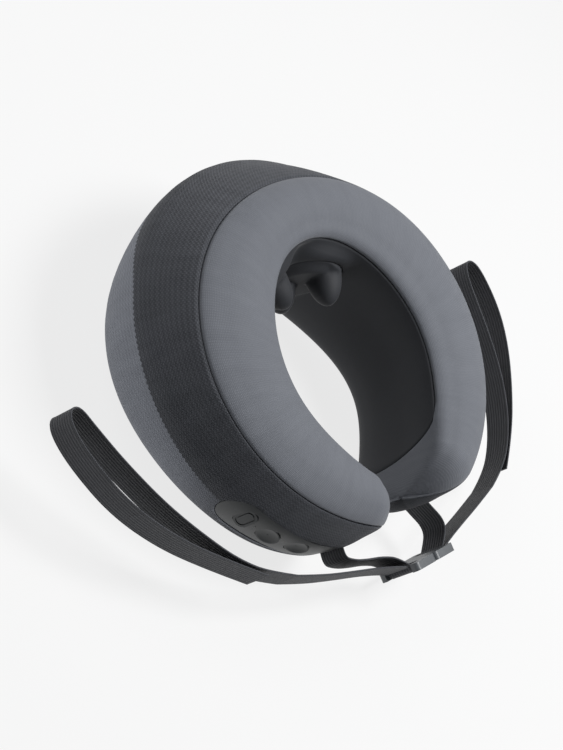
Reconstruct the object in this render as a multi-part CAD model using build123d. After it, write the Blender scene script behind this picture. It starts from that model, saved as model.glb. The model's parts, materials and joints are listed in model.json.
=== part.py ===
# Shiatsu neck massager: a padded horseshoe worn round the neck, with two turning
# massage heads in its back, a control panel on one arm and strap loops for the hands.
# Millimetres. The massager is drawn level with its top ring (z = 0 is the ring's seam,
# the open side faces -Y, the wearer's right arm is at -X), then leaned to stand on its base.
import os
from math import cos, degrees, pi, radians, sin, sqrt

from build123d import *
import numpy as np

# ---------------------------------------------------------------- driving sizes
# Radii about the middle of the horseshoe at 0, 60, 90, 120 and 150 degrees from the back.
KNOT_DEGREES = (0, 60, 90, 120, 150)
OUTER_SEAM = (135, 141, 132, 116, 104.5)
INNER_SEAM = (92, 78, 70, 65, 70)
DEPTH = (104, 102, 88, 83, 82)
BULGE = (26, 12, 8, 7, 4)
ARM_END_DEGREES = 164
ARM_ROUNDING_DEGREES = 17
RING_CROWN = 10.5
LEAN_DEGREES = 9

COVER_THICKNESS = 3.0
SEAM_GAP = 0.4
BAND_DEPTH = 42
LINER_LAP = 6
LINER_END_DEGREES = 151
FOAM_GAP = 0.3

HEAD_TILT_DEGREES = 20
HEAD_LEVEL = -40
HEAD_REACH = 82
HEAD_RADIUS = 28.5
HEAD_PLATE = 4
NODE_CIRCLE = 15.5
NODE_RADIUS = 9.5
NODE_TURN_DEGREES = -45
NODE_LENGTH = 21
NODE_PEG_RADIUS = 3
SKIN_THICKNESS = 1.2
SKIN_GAP = 0.2
HEAD_CLEARANCE = 1.2

WHEEL_TEETH = 48
WHEEL_RADIUS = 30
TOOTH_DEPTH = 2.4
WHEEL_WIDTH = 7
WORM_RADIUS = 8
WORM_LENGTH = 22
WORM_PITCH = 3.9
MESH_GAP = 0.3
SHAFT_RADIUS = 4
SHAFT_FIT = 0.04
BUSH_WALL = 2.5
BUSH_LENGTH = 6
MOTOR_RADIUS = 12
MOTOR_LENGTH = 28
MOTOR_DROP = 20
MOTOR_SHAFT_RADIUS = 2

HOUSING_WALL = 2.2
HOUSING_FLOOR = -75
HOUSING_ROOF = -2
HOUSING_FRONT = 94.5
HOUSING_CORNER = 68
HOUSING_OUTLINE = ((78, 90), (66, 110), (40, 126), (0, 131))
HOUSING_SCREWS = ((70, 85), (62, 108), (0, 127))
SCREW_RADIUS = 1.5
SCREW_HEAD_RADIUS = 2.8
SCREW_LENGTH = 14

PANEL_ANGLE = -128
PANEL_LENGTH = 96
PANEL_ROUND_RADIUS = 16.5
PANEL_TIP_RADIUS = 13.5
PANEL_ROUND_LEVEL = -42
PANEL_TIP_LEVEL = -45
PANEL_THICKNESS = 3.2
PANEL_GAP = 0.5
POWER_ANGLE, POWER_LEVEL = -114.5, -40
POWER_LENGTH, POWER_WIDTH = 18.5, 10.5
DISH_RADIUS = 7.8
MODE_ANGLE, HEAT_ANGLE, DISH_LEVEL = -124, -135.5, -42.5
BUTTON_TRAVEL = 0.8
BUTTON_FIT = 0.25
BUTTON_PROUD = 0.9
BUTTON_DEPTH = 7
LIGHT_ANGLES = (-118.6, -129.7)
LIGHT_RADIUS = 0.9
TRAY_DEPTH = 28
TRAY_WALL = 1.8
SWITCH_SIDE = 6

WEBBING_WIDTH = 20
WEBBING_THICKNESS = 1.4
STRAP_LEVEL = -45
SLOT_ANGLE = 152.5
SLOT_CLEARANCE = 1.0
ANCHOR_DEPTH = 11
ANCHOR_RADIUS = 1.5
CLIP_MIDDLE = (25, -128)
CLIP_HALF_WIDTH = 22
CLIP_HEIGHT = 34
CLIP_THICKNESS = 5.6
CLIP_BAR_RADIUS = 1.4
PRONG_LENGTH = 12
PRONG_WIDTH = 5
PRONG_THICKNESS = 2.6
CLIP_FIT = 0.25

BATTERY_RADIUS = 9.2
BATTERY_LENGTH = 65
BATTERY_ANGLE = 112
BATTERY_LEVEL = -37
SPRING_THICKNESS = 1.2
SPRING_HEIGHT = 30
PAD_THICKNESS = 0.8
PAD_HEIGHT = 28
LEAD_RADIUS = 1.6
PORT_WIDTH, PORT_HEIGHT, PORT_DEPTH = 9.2, 3.4, 8
PORT_ANGLE = 125
PORT_RECESS = 2
FOAM_SPLIT = 52

os.makedirs("parts", exist_ok=True)


def through(knots):
    """The even cosine series through five radii, as a function of the angle in degrees."""
    basis = [[cos(radians(k * a)) for k in range(5)] for a in KNOT_DEGREES]
    terms = np.linalg.solve(np.array(basis), np.array(knots, dtype=float))
    return lambda a: float(sum(t * cos(radians(k * a)) for k, t in enumerate(terms)))


outer_seam = through(OUTER_SEAM)
inner_seam = through(INNER_SEAM)
depth = through(DEPTH)
bulge = through(BULGE)


def rounding(angle, end):
    """How far the section is shrunk towards the arm's rounded end."""
    start = end - ARM_ROUNDING_DEGREES
    t = min(max((abs(angle) - start) / (end - start), 0), 1)
    return sqrt(max(1 - t * t, 0))


def polar(radius, angle, z):
    """A point from its radius, its angle from the back (towards +X) and its height."""
    return Vector(radius * sin(radians(angle)), radius * cos(radians(angle)), z)


def section(angle, inset):
    """The closed outline of the padded body at one angle, inset by the given distance."""
    inner, outer = inner_seam(angle), outer_seam(angle)
    low, swell = depth(angle), bulge(angle)
    width = outer - inner
    middle = inner + width / 2
    end = ARM_END_DEGREES - degrees(inset / middle)
    scale = rounding(angle, end)
    points = [
        (inner + inset, 0),
        (inner + 0.25 * width, 0.78 * RING_CROWN - inset),
        (middle, RING_CROWN - inset),
        (outer - 0.25 * width, 0.78 * RING_CROWN - inset),
        (outer - inset, 0),
        (outer + 0.75 * swell - inset, -0.22 * low),
        (outer + swell - inset, -0.42 * low),
        (outer + 0.5 * swell - 0.05 * width - inset, -0.78 * low),
        (outer - 0.22 * width - 0.6 * inset, -0.95 * low + 0.8 * inset),
        (middle, -low + inset),
        (inner + 0.16 * width + 0.5 * inset, -0.93 * low + 0.8 * inset),
        (inner + 0.02 * width + inset, -0.72 * low),
        (inner + inset, -0.36 * low),
    ]
    hub = (middle, -0.42 * low)
    shrunk = [(hub[0] + scale * (r - hub[0]), hub[1] + scale * (z - hub[1])) for r, z in points]
    p = [polar(r, angle, z) for r, z in shrunk]
    runs = (p[0:5], p[4:8], p[7:12], p[11:] + p[:1])
    return Face(Wire([Edge.make_spline(run) for run in runs]))


def whole_body(inset):
    """The padded body from one rounded arm end to the other."""
    end = ARM_END_DEGREES - degrees(inset / ((inner_seam(150) + outer_seam(150)) / 2))
    start = end - ARM_ROUNDING_DEGREES
    cap = [start + ARM_ROUNDING_DEGREES * sin(radians(q)) for q in (0, 30, 50, 65, 75)]
    straight = list(np.linspace(0, start, 9))[:-1]
    half = straight + cap
    angles = [-a for a in reversed(half[1:])] + half
    return loft([section(a, inset) for a in angles])


LEAN = Rot(X=LEAN_DEGREES)
pieces = {}


def upright_prism(outline, bottom, top):
    """A prism over a closed plan outline between two heights."""
    return extrude(Plane.XY.offset(bottom) * make_face(Polyline(*outline, close=True)), top - bottom)


def wall_frame(angle, level, reach):
    """A plane at the given place facing outwards, its x running along the arm."""
    outward = Vector(sin(radians(angle)), cos(radians(angle)), 0)
    return Plane(origin=polar(reach, angle, level), x_dir=Vector(0, 0, 1).cross(outward), z_dir=outward)


def head_frame(side, reach):
    """A plane on a massage head's axis facing the neck, its x upright."""
    angle = radians(side * HEAD_TILT_DEGREES)
    inward = Vector(-sin(angle), -cos(angle), 0)
    place = polar(reach, side * HEAD_TILT_DEGREES, HEAD_LEVEL)
    return Plane(origin=place, x_dir=(0, 0, 1), z_dir=inward)


def upward(shape, height):
    """A cylinder or other centred shape moved so that it starts at its base plane."""
    return Pos(0, 0, height / 2) * shape


def mirrored(side, points):
    """Plan points drawn for the +X side, given for either side."""
    return [(side * x, y) for x, y in points]


# ---------------------------------------------------------------- padded body
shell = whole_body(0) - whole_body(COVER_THICKNESS)
filling = whole_body(COVER_THICKNESS + FOAM_GAP)


def seam_outline(radius, inset):
    """A closed plan outline through a seam, moved inwards or outwards, for cutting."""
    points = [polar(radius(a) + inset, a, 0) for a in range(-176, 177, 16)]
    return make_face([Edge.make_spline(points), Edge.make_line(points[-1], points[0])])


def wedge(first, last):
    """A plan sector of the horseshoe between two angles."""
    rim = [polar(400, a, 0) for a in np.linspace(first, last, 6)]
    return extrude(Plane.XY.offset(-200) * make_face(Polyline((0, 0), *[(p.X, p.Y) for p in rim], close=True)), 400)


neck_prism = extrude(Plane.XY.offset(-200) * seam_outline(inner_seam, LINER_LAP), 200)
liner_sector = wedge(-LINER_END_DEGREES, LINER_END_DEGREES)
gap_degrees = degrees(SEAM_GAP / inner_seam(LINER_END_DEGREES))
beyond_liner = neck_prism - wedge(-LINER_END_DEGREES - gap_degrees, LINER_END_DEGREES + gap_degrees)
above = Pos(0, 0, 100) * Box(600, 600, 200)
below_band = Pos(0, 0, -BAND_DEPTH - 100) * Box(600, 600, 200)
gap_above = Pos(0, 0, 100 - SEAM_GAP) * Box(600, 600, 200)
gap_below = Pos(0, 0, -BAND_DEPTH - 100 + SEAM_GAP) * Box(600, 600, 200)
neck_gap = extrude(Plane.XY.offset(-200) * seam_outline(inner_seam, LINER_LAP + SEAM_GAP), 200)

ring_cover = shell & (above + beyond_liner)
neck_liner = (shell & neck_prism & liner_sector) - gap_above
outer_skin = shell - gap_above - neck_gap
lower_cover = outer_skin & below_band
side_band = outer_skin - gap_below

# ---------------------------------------------------------------- gearbox and heads
tilt = radians(HEAD_TILT_DEGREES)
WORM_Y = (WHEEL_RADIUS + WORM_RADIUS + MESH_GAP) / sin(tilt)
WHEEL_REACH = WORM_Y * cos(tilt)
FRONT_BUSH_REACH = HOUSING_FRONT + BUSH_LENGTH / 2
REAR_BUSH_REACH = WHEEL_REACH + WHEEL_WIDTH / 2 + 2 + BUSH_LENGTH / 2
BUSH_RADIUS = SHAFT_RADIUS + BUSH_WALL

front_corner = (HOUSING_CORNER, (HOUSING_FRONT - HOUSING_CORNER * sin(tilt)) / cos(tilt))
half_outline = [front_corner] + list(HOUSING_OUTLINE)
front_middle = (0, HOUSING_FRONT / cos(tilt))
housing_plan = [front_middle] + half_outline + mirrored(-1, reversed(half_outline[:-1]))
inner_plan = offset(make_face(Polyline(*housing_plan, close=True)), -HOUSING_WALL, kind=Kind.INTERSECTION)
housing_height = HOUSING_ROOF - HOUSING_FLOOR
housing_block = upright_prism(housing_plan, HOUSING_FLOOR, HOUSING_ROOF)
cavity = extrude(Plane.XY.offset(HOUSING_FLOOR + HOUSING_WALL) * inner_plan, housing_height - 2 * HOUSING_WALL)
motor_top = HEAD_LEVEL - MOTOR_DROP
motor_middle = Pos(0, WORM_Y, motor_top - MOTOR_LENGTH / 2)
motor_space = motor_middle * Cylinder(MOTOR_RADIUS, MOTOR_LENGTH)
motor_pocket = motor_middle * Cylinder(MOTOR_RADIUS + HOUSING_WALL, MOTOR_LENGTH + 2 * HOUSING_WALL)
journal_boss = Pos(0, WORM_Y, HOUSING_ROOF - 8) * Cylinder(6, 16)

bosses = journal_boss
shaft_holes = Pos(0, WORM_Y, 0) * Cylinder(MOTOR_SHAFT_RADIUS + SHAFT_FIT, 300)
bushes = []
for side in (-1, 1):
    front = head_frame(side, FRONT_BUSH_REACH)
    rear = head_frame(side, REAR_BUSH_REACH)
    bosses += front * Cylinder(BUSH_RADIUS + 3, BUSH_LENGTH)
    rear_boss = head_frame(side, REAR_BUSH_REACH + BUSH_LENGTH) * Cylinder(BUSH_RADIUS + 3, 3 * BUSH_LENGTH)
    bosses += rear_boss & housing_block
    for plane in (front, rear):
        shaft_holes += plane * Cylinder(BUSH_RADIUS, BUSH_LENGTH)
        bushes.append(plane * (Cylinder(BUSH_RADIUS, BUSH_LENGTH) - Cylinder(SHAFT_RADIUS + SHAFT_FIT, 30)))
    shaft_holes += head_frame(side, REAR_BUSH_REACH) * Cylinder(SHAFT_RADIUS + 0.5, BUSH_LENGTH + 4)

screw_places = HOUSING_SCREWS + tuple(mirrored(-1, HOUSING_SCREWS[:2]))
posts, screws, screw_holes = [], [], []
screw_top = HEAD_LEVEL + SCREW_LENGTH - 4
for x, y in screw_places:
    posts.append(Pos(x, y, HEAD_LEVEL) * Cylinder(4, housing_height * 2))
    shank = Pos(x, y, screw_top - SCREW_LENGTH / 2) * Cylinder(SCREW_RADIUS, SCREW_LENGTH)
    screws.append(shank + Pos(x, y, screw_top + 1) * Cylinder(SCREW_HEAD_RADIUS, 2))
    screw_holes.append(shank + Pos(x, y, screw_top + 25) * Cylinder(SCREW_HEAD_RADIUS, 50))
posts = Compound(posts) & housing_block
housing = (housing_block - cavity) + (bosses & housing_block) + posts + motor_pocket
housing = housing - motor_space - shaft_holes - Compound(screw_holes)
upper_half = Pos(0, 0, HEAD_LEVEL + 100) * Box(400, 400, 200)
lower_half = Pos(0, 0, HEAD_LEVEL - 100) * Box(400, 400, 200)
pieces["gearbox_lower"] = max((housing & lower_half).solids(), key=lambda s: s.volume)
pieces["gearbox_upper"] = max((housing & upper_half).solids(), key=lambda s: s.volume)
pieces["gearbox_screws"] = Compound(screws)
pieces["shaft_bushes"] = Compound(bushes)
pieces["drive_motor"] = motor_space - Pos(0, WORM_Y, 0) * Cylinder(MOTOR_SHAFT_RADIUS + SHAFT_FIT, 200)

thread = [Cylinder(WORM_RADIUS - 1.8, WORM_LENGTH)]
for turn in range(int(WORM_LENGTH / WORM_PITCH)):
    level = -WORM_LENGTH / 2 + WORM_PITCH * (turn + 0.7)
    thread.append(Pos(0, 0, level) * Cylinder(WORM_RADIUS, WORM_PITCH * 0.4))
shaft_bottom = motor_top - 20
shaft_top = HOUSING_ROOF - 6
worm_rod = Pos(0, 0, (shaft_bottom + shaft_top) / 2 - HEAD_LEVEL)
worm_rod = worm_rod * Cylinder(MOTOR_SHAFT_RADIUS, shaft_top - shaft_bottom)
pieces["worm"] = Pos(0, WORM_Y, HEAD_LEVEL) * (Part() + thread + worm_rod)

tooth_pitch = 2 * pi * WHEEL_RADIUS / WHEEL_TEETH
wheel_blank = Cylinder(WHEEL_RADIUS, WHEEL_WIDTH) - Cylinder(SHAFT_RADIUS, WHEEL_WIDTH)
gullet = Pos(WHEEL_RADIUS, 0, 0) * Box(2 * TOOTH_DEPTH, tooth_pitch / 2, WHEEL_WIDTH)
gullets = [Rot(Z=360 * k / WHEEL_TEETH) * gullet for k in range(WHEEL_TEETH)]
windows = [Rot(Z=60 * k) * (Pos(19, 0, 0) * Cylinder(6.5, WHEEL_WIDTH)) for k in range(6)]
worm_wheel = wheel_blank - Compound(gullets) - Compound(windows)

NODE_PLACES = {"upper": NODE_CIRCLE, "lower": -NODE_CIRCLE}
straight_part = NODE_LENGTH - NODE_RADIUS


def bump(radius, straight):
    """A massage node's outer shape: a short post with a round top."""
    return upward(Cylinder(radius, straight), straight) + Pos(0, 0, straight) * Sphere(radius)


head_plate = upward(Cylinder(HEAD_RADIUS - 3, HEAD_PLATE), -HEAD_PLATE)
head_plate += Pos(0, 0, -HEAD_PLATE) * upward(Cylinder(SHAFT_RADIUS + 3, 2), -2)
shaft_length = REAR_BUSH_REACH + BUSH_LENGTH / 2 - HEAD_REACH
peg = upward(Cylinder(NODE_PEG_RADIUS, HEAD_PLATE), -HEAD_PLATE)
for offset_x in NODE_PLACES.values():
    head_plate -= Pos(offset_x, 0, 0) * peg
head_plate -= upward(Cylinder(SHAFT_RADIUS, HEAD_PLATE + 4), -HEAD_PLATE - 4)

inside_skin = Pos(0, 0, SKIN_GAP) * upward(Cylinder(HEAD_RADIUS - SKIN_THICKNESS, 8), -8)
head_skin = Pos(0, 0, SKIN_GAP + SKIN_THICKNESS) * upward(Cylinder(HEAD_RADIUS, 7), -7)
for offset_x in NODE_PLACES.values():
    place = Pos(offset_x, 0, 0)
    head_skin += place * bump(NODE_RADIUS + SKIN_GAP + SKIN_THICKNESS, straight_part)
    inside_skin += place * bump(NODE_RADIUS + SKIN_GAP, straight_part)
head_skin -= inside_skin

for side, name in ((-1, "left"), (1, "right")):
    plane = head_frame(side, HEAD_REACH) * Rot(Z=NODE_TURN_DEGREES)
    pieces["worm_wheel_" + name] = head_frame(side, WHEEL_REACH) * worm_wheel
    pieces["head_shaft_" + name] = plane * upward(Cylinder(SHAFT_RADIUS, shaft_length), -shaft_length)
    pieces["head_plate_" + name] = plane * head_plate
    for level, offset_x in NODE_PLACES.items():
        node = bump(NODE_RADIUS, straight_part) + peg
        pieces["node_" + level + "_" + name] = plane * Pos(offset_x, 0, 0) * node
    pieces["head_skin_" + name] = plane * head_skin

# ---------------------------------------------------------------- control panel
wall_reach = outer_seam(PANEL_ANGLE) + bulge(PANEL_ANGLE)
panel_plane = wall_frame(PANEL_ANGLE, 0, wall_reach)
round_place = PANEL_LENGTH / 2 - PANEL_ROUND_RADIUS
tip_place = PANEL_LENGTH / 2 - PANEL_TIP_RADIUS


def teardrop(grow):
    """The panel's outline seen from outside: a large round end and a smaller one at the arm's tip."""
    large = Pos(-round_place, PANEL_ROUND_LEVEL) * Circle(PANEL_ROUND_RADIUS + grow)
    small = Pos(tip_place, PANEL_TIP_LEVEL) * Circle(PANEL_TIP_RADIUS + grow)
    return make_hull(large.edges() + small.edges())


def panel_prism(grow):
    """Everything behind and in front of the panel's outline."""
    return extrude(panel_plane * teardrop(grow), 12) + extrude(panel_plane * teardrop(grow), -26)


def along(angle):
    """The distance along the panel of a place on the arm's wall."""
    return wall_reach * sin(radians(PANEL_ANGLE - angle))


def button_axis(angle, level):
    """A plane on the panel's outer face at a button, facing outwards."""
    return wall_frame(angle, level, outer_seam(angle) + bulge(angle) - 0.8)


def obround(length, width, grow):
    """A flat-sided button's outline, upright."""
    return Rot(Z=90) * SlotOverall(length + 2 * grow, width + 2 * grow)


slot_reach = outer_seam(SLOT_ANGLE) + bulge(SLOT_ANGLE)
slot_box = Box(WEBBING_THICKNESS * 2 + 2 * SLOT_CLEARANCE, WEBBING_WIDTH + 2 * SLOT_CLEARANCE, 40)
anchor_reach = slot_reach - ANCHOR_DEPTH
pocket_box = Box(10, WEBBING_WIDTH + 8, 12)
slots, pockets = {}, {}
for side, name in ((-1, "left"), (1, "right")):
    slots[name] = wall_frame(side * SLOT_ANGLE, STRAP_LEVEL, slot_reach) * slot_box
    pockets[name] = wall_frame(side * SLOT_ANGLE, STRAP_LEVEL, anchor_reach) * pocket_box
    rod = wall_frame(side * SLOT_ANGLE, STRAP_LEVEL, anchor_reach) * Rot(X=90)
    pieces["anchor_pin_" + name] = rod * Cylinder(ANCHOR_RADIUS, WEBBING_WIDTH + 5)

panel_blank = whole_body(-0.3) - whole_body(PANEL_THICKNESS - 0.3)
panel = (panel_blank & panel_prism(0)) - slots["left"]
buttons = {
    "power_button": (POWER_ANGLE, POWER_LEVEL, lambda grow: obround(POWER_LENGTH, POWER_WIDTH, grow)),
    "mode_button": (MODE_ANGLE, DISH_LEVEL, lambda grow: Circle(DISH_RADIUS + grow)),
    "heat_button": (HEAT_ANGLE, DISH_LEVEL, lambda grow: Circle(DISH_RADIUS + grow)),
}
tray_end = along(-SLOT_ANGLE) - 10
tray_front = whole_body(PANEL_THICKNESS)


def tray_block(grow, back):
    """The space behind the panel, from its inner face to a flat back."""
    block = panel_plane * Pos(tray_end - 60 + grow, PANEL_ROUND_LEVEL, 50 - back) * Box(120, 80, 100)
    return panel_prism(-2.5 + grow) & block


tray = (tray_block(0, TRAY_DEPTH) & tray_front) - tray_block(-TRAY_WALL, TRAY_DEPTH - TRAY_WALL)
board_back = TRAY_DEPTH - TRAY_WALL - 1
front_of_board = panel_plane * Pos(0, 0, 50 - board_back + 1.6) * Box(200, 200, 100)
switches = []
for name, (angle, level, outline) in buttons.items():
    axis = button_axis(angle, level)
    cap = extrude(axis * outline(0), BUTTON_PROUD) + extrude(axis * outline(0), -BUTTON_DEPTH)
    if name == "power_button":
        groove = extrude(axis * Pos(0, 0, BUTTON_PROUD) * obround(POWER_LENGTH, POWER_WIDTH, -1.6), -0.5)
        groove -= extrude(axis * Pos(0, 0, BUTTON_PROUD) * obround(POWER_LENGTH, POWER_WIDTH, -2.6), -0.5)
        cap -= groove
    else:
        dish = 3 * DISH_RADIUS
        cap -= axis * Pos(0, 0, BUTTON_PROUD + sqrt(dish ** 2 - (DISH_RADIUS - 0.8) ** 2)) * Sphere(dish)
    pieces[name] = cap
    panel -= extrude(axis * outline(BUTTON_FIT), 20, both=True)
    switch = Pos(0, 0, -BUTTON_DEPTH - BUTTON_TRAVEL - 0.3 - 10) * Box(SWITCH_SIDE, SWITCH_SIDE, 20)
    switches.append(axis * switch & front_of_board)
lights = []
for angle in LIGHT_ANGLES:
    axis = button_axis(angle, DISH_LEVEL + 1)
    lights.append(axis * Pos(0, 0, -1.5) * Cylinder(LIGHT_RADIUS, 5))
panel -= Compound(lights)
pieces["control_panel"] = max(panel.solids(), key=lambda s: s.volume)
pieces["panel_tray"] = max(tray.solids(), key=lambda s: s.volume)
pieces["panel_switches"] = Compound(switches)
pieces["panel_lights"] = Compound(lights)
board = tray_block(-TRAY_WALL - 0.5, board_back) - front_of_board
pieces["switch_board"] = max(board.solids(), key=lambda s: s.volume)

# ---------------------------------------------------------------- straps and clip
clip_x, clip_y = CLIP_MIDDLE
BAR_X = {"left": clip_x - CLIP_HALF_WIDTH + 5, "right": clip_x + CLIP_HALF_WIDTH - 5}
eye_radius = CLIP_BAR_RADIUS + CLIP_FIT
SHORT_ROUTE = {
    "left": [(-51.9, -99.8), (-42, -106), (-30, -109.5), (-16, -112.5), (-2, -118)],
    "right": [(52.4, -100.6), (56.5, -108), (56.5, -115), (50, -121.5)],
}
RUN_ROUTE = {
    "left": [(-4, -123.5), (-24, -117.5), (-49, -111.5), (-76, -104.5), (-97, -97.2)],
    "right": [(54, -124), (76, -118.5), (100, -113), (124, -106.5)],
}
LOOP_ROUTE = {
    "left": [(-97, -97.2), (-119, -86.8), (-134, -76), (-148, -62), (-173, -29), (-191, 5), (-202, 32),
             (-207, 46), (-215, 46.5), (-218.5, 36), (-214, 14), (-201, -17), (-178, -45), (-148, -69.5),
             (-121, -88.8)],
    "right": [(124, -106.5), (146, -98), (166, -81.5), (182, -59), (193, -31), (198.5, 2), (201, 30),
              (206, 46), (215, 47.5), (221.5, 38), (222.5, 8), (214, -20), (196, -50), (172, -80),
              (148, -100.4)],
}


def ribbon(route, roundness=0.45):
    """Upright webbing along a plan route, its corners eased into arcs."""
    points = [Vector(x, y) for x, y in route]
    radii = []
    for before, here, after in zip(points, points[1:], points[2:]):
        turn = radians((here - before).get_angle(after - here))
        shorter = min((here - before).length, (after - here).length)
        radii.append(roundness * shorter / np.tan(turn / 2))
    path = FilletPolyline(*points, radius=radii)
    flat = offset(path, WEBBING_THICKNESS / 2, side=Side.BOTH)
    return extrude(Plane.XY.offset(STRAP_LEVEL - WEBBING_WIDTH / 2) * make_face(flat), WEBBING_WIDTH)


def eye(x, y):
    """The stitched webbing eye round a bar or pin."""
    outer_radius = eye_radius + WEBBING_THICKNESS
    return Pos(x, y, STRAP_LEVEL) * Cylinder(outer_radius, WEBBING_WIDTH)


def bar_hole(x, y, radius):
    """A hole for a bar or pin through a strap eye."""
    return Pos(x, y, STRAP_LEVEL) * Cylinder(radius, WEBBING_WIDTH + 20)


for side, name in ((-1, "left"), (1, "right")):
    anchor = polar(anchor_reach, side * SLOT_ANGLE, 0)
    bar_x = BAR_X[name]
    short = ribbon([(anchor.X, anchor.Y)] + SHORT_ROUTE[name] + [(bar_x, clip_y)])
    run = ribbon([(bar_x, clip_y)] + RUN_ROUTE[name])
    bar_eye = eye(bar_x, clip_y)
    short = short + eye(anchor.X, anchor.Y) + bar_eye
    short = short - bar_hole(bar_x, clip_y, eye_radius) - bar_hole(anchor.X, anchor.Y, ANCHOR_RADIUS)
    pieces["short_strap_" + name] = short
    pieces["long_strap_" + name] = max((run - bar_eye - short).solids(), key=lambda s: s.volume)
    loop = ribbon(LOOP_ROUTE[name]) - run
    pieces["hand_loop_" + name] = max(loop.solids(), key=lambda s: s.volume)


def clip_half(name):
    """One half of the front clip: a flat frame round its strap bar."""
    outward = -1 if name == "left" else 1
    middle = clip_x + outward * (CLIP_HALF_WIDTH / 2 + 0.15)
    body = Box(CLIP_HALF_WIDTH, CLIP_THICKNESS, CLIP_HEIGHT)
    body = fillet(body.edges().filter_by(Axis.Y), 3)
    window = Pos(outward * 3, 0, 0) * Box(16, CLIP_THICKNESS + 2, WEBBING_WIDTH + 3)
    body = Pos(middle, clip_y, STRAP_LEVEL) * body
    body -= Pos(BAR_X[name], clip_y, STRAP_LEVEL) * window
    bar = Pos(BAR_X[name], clip_y, STRAP_LEVEL) * Cylinder(CLIP_BAR_RADIUS, WEBBING_WIDTH + 5)
    return body + bar


plug = clip_half("left")
socket = clip_half("right")
for rise in (-9, 9):
    place = Pos(clip_x + PRONG_LENGTH / 2 - 1, clip_y, STRAP_LEVEL + rise)
    plug += place * Box(PRONG_LENGTH + 2, PRONG_THICKNESS, PRONG_WIDTH)
    socket -= place * Box(PRONG_LENGTH + 2 + 2 * CLIP_FIT, PRONG_THICKNESS + 2 * CLIP_FIT, PRONG_WIDTH + 2 * CLIP_FIT)
pieces["clip_plug"] = plug
pieces["clip_socket"] = socket

# ---------------------------------------------------------------- arms' inner pieces
pieces["strap_port_right"] = (whole_body(-0.3) - whole_body(PANEL_THICKNESS - 0.3)) & extrude(
    wall_frame(SLOT_ANGLE, STRAP_LEVEL, slot_reach - 6) * Rot(Z=90) * SlotOverall(WEBBING_WIDTH + 12, 11), 12)
pieces["strap_port_right"] -= slots["right"]
port_hole = extrude(wall_frame(SLOT_ANGLE, STRAP_LEVEL, slot_reach - 6) * Rot(Z=90)
                    * SlotOverall(WEBBING_WIDTH + 12 + 2 * PANEL_GAP, 11 + 2 * PANEL_GAP), 14)

battery_reach = (inner_seam(BATTERY_ANGLE) + outer_seam(BATTERY_ANGLE)) / 2 - 4
battery_frame = wall_frame(BATTERY_ANGLE, BATTERY_LEVEL, battery_reach)
cells = [battery_frame * Pos(0, rise, 0) * Rot(Y=90) * Cylinder(BATTERY_RADIUS, BATTERY_LENGTH)
         for rise in (-BATTERY_RADIUS - 0.3, BATTERY_RADIUS + 0.3)]
case_size = (BATTERY_LENGTH + 3, 4 * BATTERY_RADIUS + 3.5, 2 * BATTERY_RADIUS + 3)
battery_case = battery_frame * Box(*case_size)
pieces["battery_cells"] = Compound(cells)
pieces["battery_case"] = battery_case - Compound(cells)


def inner_strip(side, first, last, inset, thickness, height):
    """A thin upright strip that follows the neck wall inside one arm."""
    route = [polar(inner_seam(a) + inset, side * a, 0) for a in np.linspace(first, last, 8)]
    path = FilletPolyline(*route, radius=30)
    flat = make_face(offset(path, thickness / 2, side=Side.BOTH))
    return extrude(Plane.XY.offset(HEAD_LEVEL - height / 2) * flat, height)


for side, name in ((-1, "left"), (1, "right")):
    pieces["arm_spring_" + name] = inner_strip(side, 52, 148, 10, SPRING_THICKNESS, SPRING_HEIGHT)
    pieces["heat_pad_" + name] = inner_strip(side, 60, 130, 5.5, PAD_THICKNESS, PAD_HEIGHT)

lead_routes = {
    "battery_lead": [polar(r, a, z) for r, a, z in ((112, 44, -50), (112, 58, -52), (108, 72, -50), (102, 84, -47))],
    "panel_lead": [polar(r, a, z) for r, a, z in ((112, -44, -50), (113, -58, -52), (112, -72, -50),
                                                  (110, -88, -46), (107, -103, -44))],
}
for name, route in lead_routes.items():
    path = FilletPolyline(*route, radius=25)
    lead = sweep(Plane(origin=path @ 0, z_dir=path % 0) * Circle(LEAD_RADIUS), path)
    pieces[name] = max((lead - tray_block(0, TRAY_DEPTH) - battery_case).solids(), key=lambda s: s.volume)


# ---------------------------------------------------------------- charging socket
port_angle = -PORT_ANGLE
port_level = -depth(port_angle) + PORT_RECESS
port_place = polar((inner_seam(port_angle) + outer_seam(port_angle)) / 2, port_angle, port_level)
port_plane = Plane(origin=port_place, x_dir=wall_frame(port_angle, 0, 0).x_dir, z_dir=(0, 0, 1))
port_body = extrude(port_plane * SlotOverall(PORT_WIDTH + 7, PORT_HEIGHT + 7), PORT_DEPTH + 2)
pieces["charging_port"] = port_body - extrude(port_plane * SlotOverall(PORT_WIDTH, PORT_HEIGHT), PORT_DEPTH)
port_hole_space = extrude(port_plane * SlotOverall(PORT_WIDTH + 8, PORT_HEIGHT + 8), PORT_DEPTH + 2)
port_hole_space += extrude(port_plane * SlotOverall(PORT_WIDTH + 8, PORT_HEIGHT + 8), -12)

# ---------------------------------------------------------------- covers and foam cut to fit
head_windows = Part()
for side in (-1, 1):
    window = head_frame(side, HOUSING_FRONT) * upward(Cylinder(HEAD_RADIUS + HEAD_CLEARANCE, 60), 60)
    head_windows += window
panel_hole = panel_prism(PANEL_GAP)
openings = slots["left"] + slots["right"] + port_hole + port_hole_space
pieces["ring_cover"] = ring_cover
pieces["neck_liner"] = neck_liner - head_windows
pieces["side_band"] = side_band - panel_hole - openings - pockets["left"] - pockets["right"]
pieces["lower_cover"] = lower_cover - panel_hole - openings - pockets["left"] - pockets["right"]
pieces["lower_cover"] -= motor_pocket

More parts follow.
